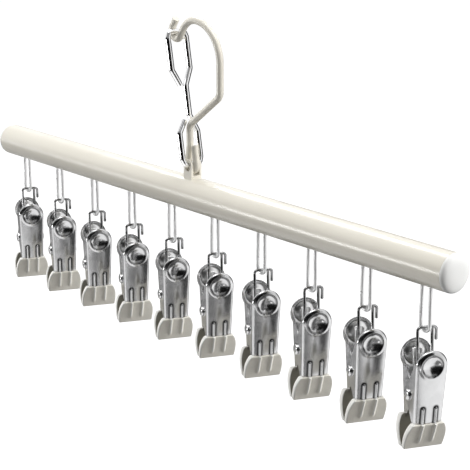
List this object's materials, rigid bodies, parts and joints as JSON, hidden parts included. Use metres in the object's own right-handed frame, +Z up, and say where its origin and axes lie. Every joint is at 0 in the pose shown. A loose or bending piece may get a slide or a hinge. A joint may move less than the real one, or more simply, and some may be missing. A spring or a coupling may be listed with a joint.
{
  "type": "skirt hanger",
  "caption": "Skirt hanger: a capped tube under a wire hook with a wind latch, with sprung sheet-metal clips hanging from wire loops along it.",
  "frame": {"origin": "inside top of the hook's bow, where it sits on a rail, straight above the pivot bar and the middle of the tube", "axes": "+X along the tube towards the open side of the bow, +Y across the hanger, +Z up"},
  "size_m": [0.3876, 0.0242, 0.1882],
  "materials": {
    "cream_coating": "gloss",
    "white_cap": "satin",
    "chrome_wire": "polished",
    "chrome_sheet": "polished",
    "plated_steel": "satin",
    "grip_rubber": "matte"
  },
  "bodies": {
    "hook": {"hook": "cream_coating"},
    "latch": {"wind_latch": "chrome_wire"},
    "tube": {"tube": "cream_coating", "hook_lug": "cream_coating", "lug_washer": "plated_steel", "lug_nut": "plated_steel", "end_cap_left": "white_cap", "end_cap_right": "white_cap", "hanging_loops": "chrome_wire"},
    "clip_01": {"clip_01_pivot": "chrome_wire"},
    "clip_01_front": {"clip_01_front_leg": "chrome_sheet", "clip_01_front_grip": "grip_rubber"},
    "clip_01_rear": {"clip_01_rear_leg": "chrome_sheet", "clip_01_rear_grip": "grip_rubber"},
    "clip_02": {"clip_02_pivot": "chrome_wire"},
    "clip_02_front": {"clip_02_front_leg": "chrome_sheet", "clip_02_front_grip": "grip_rubber"},
    "clip_02_rear": {"clip_02_rear_leg": "chrome_sheet", "clip_02_rear_grip": "grip_rubber"},
    "clip_03": {"clip_03_pivot": "chrome_wire"},
    "clip_03_front": {"clip_03_front_leg": "chrome_sheet", "clip_03_front_grip": "grip_rubber"},
    "clip_03_rear": {"clip_03_rear_leg": "chrome_sheet", "clip_03_rear_grip": "grip_rubber"},
    "clip_04": {"clip_04_pivot": "chrome_wire"},
    "clip_04_front": {"clip_04_front_leg": "chrome_sheet", "clip_04_front_grip": "grip_rubber"},
    "clip_04_rear": {"clip_04_rear_leg": "chrome_sheet", "clip_04_rear_grip": "grip_rubber"},
    "clip_05": {"clip_05_pivot": "chrome_wire"},
    "clip_05_front": {"clip_05_front_leg": "chrome_sheet", "clip_05_front_grip": "grip_rubber"},
    "clip_05_rear": {"clip_05_rear_leg": "chrome_sheet", "clip_05_rear_grip": "grip_rubber"},
    "clip_06": {"clip_06_pivot": "chrome_wire"},
    "clip_06_front": {"clip_06_front_leg": "chrome_sheet", "clip_06_front_grip": "grip_rubber"},
    "clip_06_rear": {"clip_06_rear_leg": "chrome_sheet", "clip_06_rear_grip": "grip_rubber"},
    "clip_07": {"clip_07_pivot": "chrome_wire"},
    "clip_07_front": {"clip_07_front_leg": "chrome_sheet", "clip_07_front_grip": "grip_rubber"},
    "clip_07_rear": {"clip_07_rear_leg": "chrome_sheet", "clip_07_rear_grip": "grip_rubber"},
    "clip_08": {"clip_08_pivot": "chrome_wire"},
    "clip_08_front": {"clip_08_front_leg": "chrome_sheet", "clip_08_front_grip": "grip_rubber"},
    "clip_08_rear": {"clip_08_rear_leg": "chrome_sheet", "clip_08_rear_grip": "grip_rubber"},
    "clip_09": {"clip_09_pivot": "chrome_wire"},
    "clip_09_front": {"clip_09_front_leg": "chrome_sheet", "clip_09_front_grip": "grip_rubber"},
    "clip_09_rear": {"clip_09_rear_leg": "chrome_sheet", "clip_09_rear_grip": "grip_rubber"},
    "clip_10": {"clip_10_pivot": "chrome_wire"},
    "clip_10_front": {"clip_10_front_leg": "chrome_sheet", "clip_10_front_grip": "grip_rubber"},
    "clip_10_rear": {"clip_10_rear_leg": "chrome_sheet", "clip_10_rear_grip": "grip_rubber"}
  },
  "joints": [
    {"name": "tube_tilt", "type": "hinge", "parent": "hook", "child": "tube", "pos_m": [0, 0, -0.07724], "axis": [0, 1, 0], "range_deg": [-15, 15]},
    {"name": "latch_rock", "type": "hinge", "parent": "hook", "child": "latch", "pos_m": [0, 0, -0.07724], "axis": [0, 1, 0], "range_deg": [0, 0.6]},
    {"name": "clip_01_swing", "type": "hinge", "parent": "tube", "child": "clip_01", "pos_m": [-0.1746, 0, -0.12624], "axis": [1, 0, 0], "range_deg": [-40, 40]},
    {"name": "clip_01_front_jaw", "type": "hinge", "parent": "clip_01", "child": "clip_01_front", "pos_m": [-0.1746, 0, -0.15724], "axis": [-0.3907, -0.9205, 0], "range_deg": [0, 12], "stiffness_Nm_per_rad": 0.2, "springref_deg": -28.65},
    {"name": "clip_01_rear_jaw", "type": "hinge", "parent": "clip_01", "child": "clip_01_rear", "pos_m": [-0.1746, 0, -0.15724], "axis": [0.3907, 0.9205, 0], "range_deg": [0, 12], "stiffness_Nm_per_rad": 0.2, "springref_deg": -28.65},
    {"name": "clip_02_swing", "type": "hinge", "parent": "tube", "child": "clip_02", "pos_m": [-0.1358, 0, -0.12624], "axis": [1, 0, 0], "range_deg": [-40, 40]},
    {"name": "clip_02_front_jaw", "type": "hinge", "parent": "clip_02", "child": "clip_02_front", "pos_m": [-0.1358, 0, -0.15724], "axis": [-0.3907, -0.9205, 0], "range_deg": [0, 12], "stiffness_Nm_per_rad": 0.2, "springref_deg": -28.65},
    {"name": "clip_02_rear_jaw", "type": "hinge", "parent": "clip_02", "child": "clip_02_rear", "pos_m": [-0.1358, 0, -0.15724], "axis": [0.3907, 0.9205, 0], "range_deg": [0, 12], "stiffness_Nm_per_rad": 0.2, "springref_deg": -28.65},
    {"name": "clip_03_swing", "type": "hinge", "parent": "tube", "child": "clip_03", "pos_m": [-0.097, 0, -0.12624], "axis": [1, 0, 0], "range_deg": [-40, 40]},
    {"name": "clip_03_front_jaw", "type": "hinge", "parent": "clip_03", "child": "clip_03_front", "pos_m": [-0.097, 0, -0.15724], "axis": [-0.3907, -0.9205, 0], "range_deg": [0, 12], "stiffness_Nm_per_rad": 0.2, "springref_deg": -28.65},
    {"name": "clip_03_rear_jaw", "type": "hinge", "parent": "clip_03", "child": "clip_03_rear", "pos_m": [-0.097, 0, -0.15724], "axis": [0.3907, 0.9205, 0], "range_deg": [0, 12], "stiffness_Nm_per_rad": 0.2, "springref_deg": -28.65},
    {"name": "clip_04_swing", "type": "hinge", "parent": "tube", "child": "clip_04", "pos_m": [-0.0582, 0, -0.12624], "axis": [1, 0, 0], "range_deg": [-40, 40]},
    {"name": "clip_04_front_jaw", "type": "hinge", "parent": "clip_04", "child": "clip_04_front", "pos_m": [-0.0582, 0, -0.15724], "axis": [-0.3907, -0.9205, 0], "range_deg": [0, 12], "stiffness_Nm_per_rad": 0.2, "springref_deg": -28.65},
    {"name": "clip_04_rear_jaw", "type": "hinge", "parent": "clip_04", "child": "clip_04_rear", "pos_m": [-0.0582, 0, -0.15724], "axis": [0.3907, 0.9205, 0], "range_deg": [0, 12], "stiffness_Nm_per_rad": 0.2, "springref_deg": -28.65},
    {"name": "clip_05_swing", "type": "hinge", "parent": "tube", "child": "clip_05", "pos_m": [-0.0194, 0, -0.12624], "axis": [1, 0, 0], "range_deg": [-40, 40]},
    {"name": "clip_05_front_jaw", "type": "hinge", "parent": "clip_05", "child": "clip_05_front", "pos_m": [-0.0194, 0, -0.15724], "axis": [-0.3907, -0.9205, 0], "range_deg": [0, 12], "stiffness_Nm_per_rad": 0.2, "springref_deg": -28.65},
    {"name": "clip_05_rear_jaw", "type": "hinge", "parent": "clip_05", "child": "clip_05_rear", "pos_m": [-0.0194, 0, -0.15724], "axis": [0.3907, 0.9205, 0], "range_deg": [0, 12], "stiffness_Nm_per_rad": 0.2, "springref_deg": -28.65},
    {"name": "clip_06_swing", "type": "hinge", "parent": "tube", "child": "clip_06", "pos_m": [0.0194, 0, -0.12624], "axis": [1, 0, 0], "range_deg": [-40, 40]},
    {"name": "clip_06_front_jaw", "type": "hinge", "parent": "clip_06", "child": "clip_06_front", "pos_m": [0.0194, 0, -0.15724], "axis": [-0.3907, -0.9205, 0], "range_deg": [0, 12], "stiffness_Nm_per_rad": 0.2, "springref_deg": -28.65},
    {"name": "clip_06_rear_jaw", "type": "hinge", "parent": "clip_06", "child": "clip_06_rear", "pos_m": [0.0194, 0, -0.15724], "axis": [0.3907, 0.9205, 0], "range_deg": [0, 12], "stiffness_Nm_per_rad": 0.2, "springref_deg": -28.65},
    {"name": "clip_07_swing", "type": "hinge", "parent": "tube", "child": "clip_07", "pos_m": [0.0582, 0, -0.12624], "axis": [1, 0, 0], "range_deg": [-40, 40]},
    {"name": "clip_07_front_jaw", "type": "hinge", "parent": "clip_07", "child": "clip_07_front", "pos_m": [0.0582, 0, -0.15724], "axis": [-0.3907, -0.9205, 0], "range_deg": [0, 12], "stiffness_Nm_per_rad": 0.2, "springref_deg": -28.65},
    {"name": "clip_07_rear_jaw", "type": "hinge", "parent": "clip_07", "child": "clip_07_rear", "pos_m": [0.0582, 0, -0.15724], "axis": [0.3907, 0.9205, 0], "range_deg": [0, 12], "stiffness_Nm_per_rad": 0.2, "springref_deg": -28.65},
    {"name": "clip_08_swing", "type": "hinge", "parent": "tube", "child": "clip_08", "pos_m": [0.097, 0, -0.12624], "axis": [1, 0, 0], "range_deg": [-40, 40]},
    {"name": "clip_08_front_jaw", "type": "hinge", "parent": "clip_08", "child": "clip_08_front", "pos_m": [0.097, 0, -0.15724], "axis": [-0.3907, -0.9205, 0], "range_deg": [0, 12], "stiffness_Nm_per_rad": 0.2, "springref_deg": -28.65},
    {"name": "clip_08_rear_jaw", "type": "hinge", "parent": "clip_08", "child": "clip_08_rear", "pos_m": [0.097, 0, -0.15724], "axis": [0.3907, 0.9205, 0], "range_deg": [0, 12], "stiffness_Nm_per_rad": 0.2, "springref_deg": -28.65},
    {"name": "clip_09_swing", "type": "hinge", "parent": "tube", "child": "clip_09", "pos_m": [0.1358, 0, -0.12624], "axis": [1, 0, 0], "range_deg": [-40, 40]},
    {"name": "clip_09_front_jaw", "type": "hinge", "parent": "clip_09", "child": "clip_09_front", "pos_m": [0.1358, 0, -0.15724], "axis": [-0.3907, -0.9205, 0], "range_deg": [0, 12], "stiffness_Nm_per_rad": 0.2, "springref_deg": -28.65},
    {"name": "clip_09_rear_jaw", "type": "hinge", "parent": "clip_09", "child": "clip_09_rear", "pos_m": [0.1358, 0, -0.15724], "axis": [0.3907, 0.9205, 0], "range_deg": [0, 12], "stiffness_Nm_per_rad": 0.2, "springref_deg": -28.65},
    {"name": "clip_10_swing", "type": "hinge", "parent": "tube", "child": "clip_10", "pos_m": [0.1746, 0, -0.12624], "axis": [1, 0, 0], "range_deg": [-40, 40]},
    {"name": "clip_10_front_jaw", "type": "hinge", "parent": "clip_10", "child": "clip_10_front", "pos_m": [0.1746, 0, -0.15724], "axis": [-0.3907, -0.9205, 0], "range_deg": [0, 12], "stiffness_Nm_per_rad": 0.2, "springref_deg": -28.65},
    {"name": "clip_10_rear_jaw", "type": "hinge", "parent": "clip_10", "child": "clip_10_rear", "pos_m": [0.1746, 0, -0.15724], "axis": [0.3907, 0.9205, 0], "range_deg": [0, 12], "stiffness_Nm_per_rad": 0.2, "springref_deg": -28.65}
  ],
  "couplings": [
    {"joint": "clip_01_rear_jaw", "follows": "clip_01_front_jaw", "ratio": 1},
    {"joint": "clip_02_rear_jaw", "follows": "clip_02_front_jaw", "ratio": 1},
    {"joint": "clip_03_rear_jaw", "follows": "clip_03_front_jaw", "ratio": 1},
    {"joint": "clip_04_rear_jaw", "follows": "clip_04_front_jaw", "ratio": 1},
    {"joint": "clip_05_rear_jaw", "follows": "clip_05_front_jaw", "ratio": 1},
    {"joint": "clip_06_rear_jaw", "follows": "clip_06_front_jaw", "ratio": 1},
    {"joint": "clip_07_rear_jaw", "follows": "clip_07_front_jaw", "ratio": 1},
    {"joint": "clip_08_rear_jaw", "follows": "clip_08_front_jaw", "ratio": 1},
    {"joint": "clip_09_rear_jaw", "follows": "clip_09_front_jaw", "ratio": 1},
    {"joint": "clip_10_rear_jaw", "follows": "clip_10_front_jaw", "ratio": 1}
  ]
}
